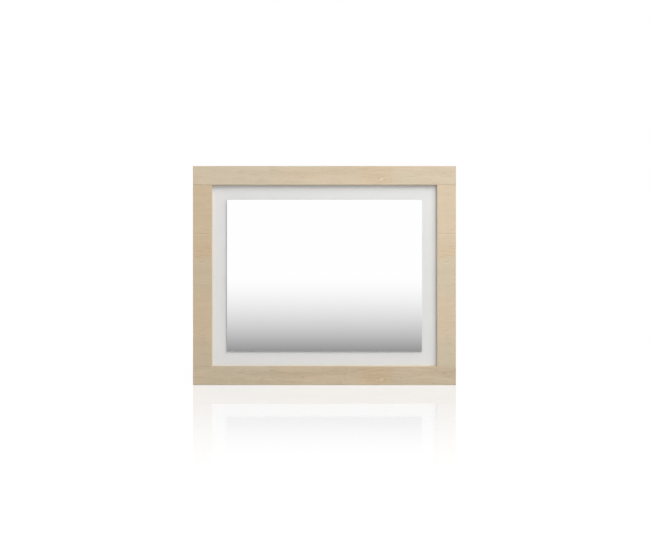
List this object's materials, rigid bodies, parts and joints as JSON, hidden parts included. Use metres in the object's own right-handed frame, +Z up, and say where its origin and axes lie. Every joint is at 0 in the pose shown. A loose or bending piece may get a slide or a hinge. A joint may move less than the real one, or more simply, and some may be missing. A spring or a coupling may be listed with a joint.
{
  "type": "framed wall mirror",
  "caption": "Rectangular wall mirror taped to a recessed white panel in a light oak decor board frame, with strap hangers and wall bumpers behind.",
  "frame": {"origin": "middle of the wall plane that the bumpers rest against, at the middle of the width and the height", "axes": "+X to the right seen from the front, +Y towards the wall, +Z up; the mirror faces -Y"},
  "size_m": [0.9, 0.028, 0.75],
  "materials": {
    "oak_decor_board": "satin",
    "edge_band": "satin",
    "white_board": "satin",
    "mirror_glass": "polished",
    "mirror_paint": "satin",
    "foam_tape": "matte",
    "beech": "matte",
    "zinc_strap": "satin",
    "nickel_wire": "gloss",
    "screw_steel": "satin",
    "clear_rubber": "satin"
  },
  "bodies": {
    "frame": {"bottom_left_bumper": "clear_rubber", "bottom_rail": "oak_decor_board", "bottom_rail_inner_band": "edge_band", "bottom_rail_left_end_band": "edge_band", "bottom_rail_outer_band": "edge_band", "bottom_rail_right_end_band": "edge_band", "bottom_right_bumper": "clear_rubber", "corner_dowel_1": "beech", "corner_dowel_2": "beech", "corner_dowel_3": "beech", "corner_dowel_4": "beech", "corner_dowel_5": "beech", "corner_dowel_6": "beech", "corner_dowel_7": "beech", "corner_dowel_8": "beech", "left_hanger_lower_screw": "screw_steel", "left_hanger_strap": "zinc_strap", "left_hanger_upper_screw": "screw_steel", "left_stile": "oak_decor_board", "left_stile_inner_band": "edge_band", "left_stile_outer_band": "edge_band", "mirror_backing": "mirror_paint", "mirror_glass": "mirror_glass", "mirror_tape_1": "foam_tape", "mirror_tape_2": "foam_tape", "mirror_tape_3": "foam_tape", "mirror_tape_4": "foam_tape", "mirror_tape_5": "foam_tape", "panel_screw_01": "screw_steel", "panel_screw_02": "screw_steel", "panel_screw_03": "screw_steel", "panel_screw_04": "screw_steel", "panel_screw_05": "screw_steel", "panel_screw_06": "screw_steel", "panel_screw_07": "screw_steel", "panel_screw_08": "screw_steel", "panel_screw_09": "screw_steel", "panel_screw_10": "screw_steel", "right_hanger_lower_screw": "screw_steel", "right_hanger_strap": "zinc_strap", "right_hanger_upper_screw": "screw_steel", "right_stile": "oak_decor_board", "right_stile_inner_band": "edge_band", "right_stile_outer_band": "edge_band", "top_left_bumper": "clear_rubber", "top_rail": "oak_decor_board", "top_rail_inner_band": "edge_band", "top_rail_left_end_band": "edge_band", "top_rail_outer_band": "edge_band", "top_rail_right_end_band": "edge_band", "top_right_bumper": "clear_rubber", "white_panel": "white_board"},
    "left_ring": {"left_hanger_ring": "nickel_wire"},
    "right_ring": {"right_hanger_ring": "nickel_wire"}
  },
  "joints": [
    {"name": "left_ring_swing", "type": "hinge", "parent": "frame", "child": "left_ring", "pos_m": [-0.4275, -0.00335, 0.28], "axis": [1, 0, 0], "range_deg": [0, 178.5]},
    {"name": "right_ring_swing", "type": "hinge", "parent": "frame", "child": "right_ring", "pos_m": [0.4275, -0.00335, 0.28], "axis": [1, 0, 0], "range_deg": [0, 178.5]}
  ]
}
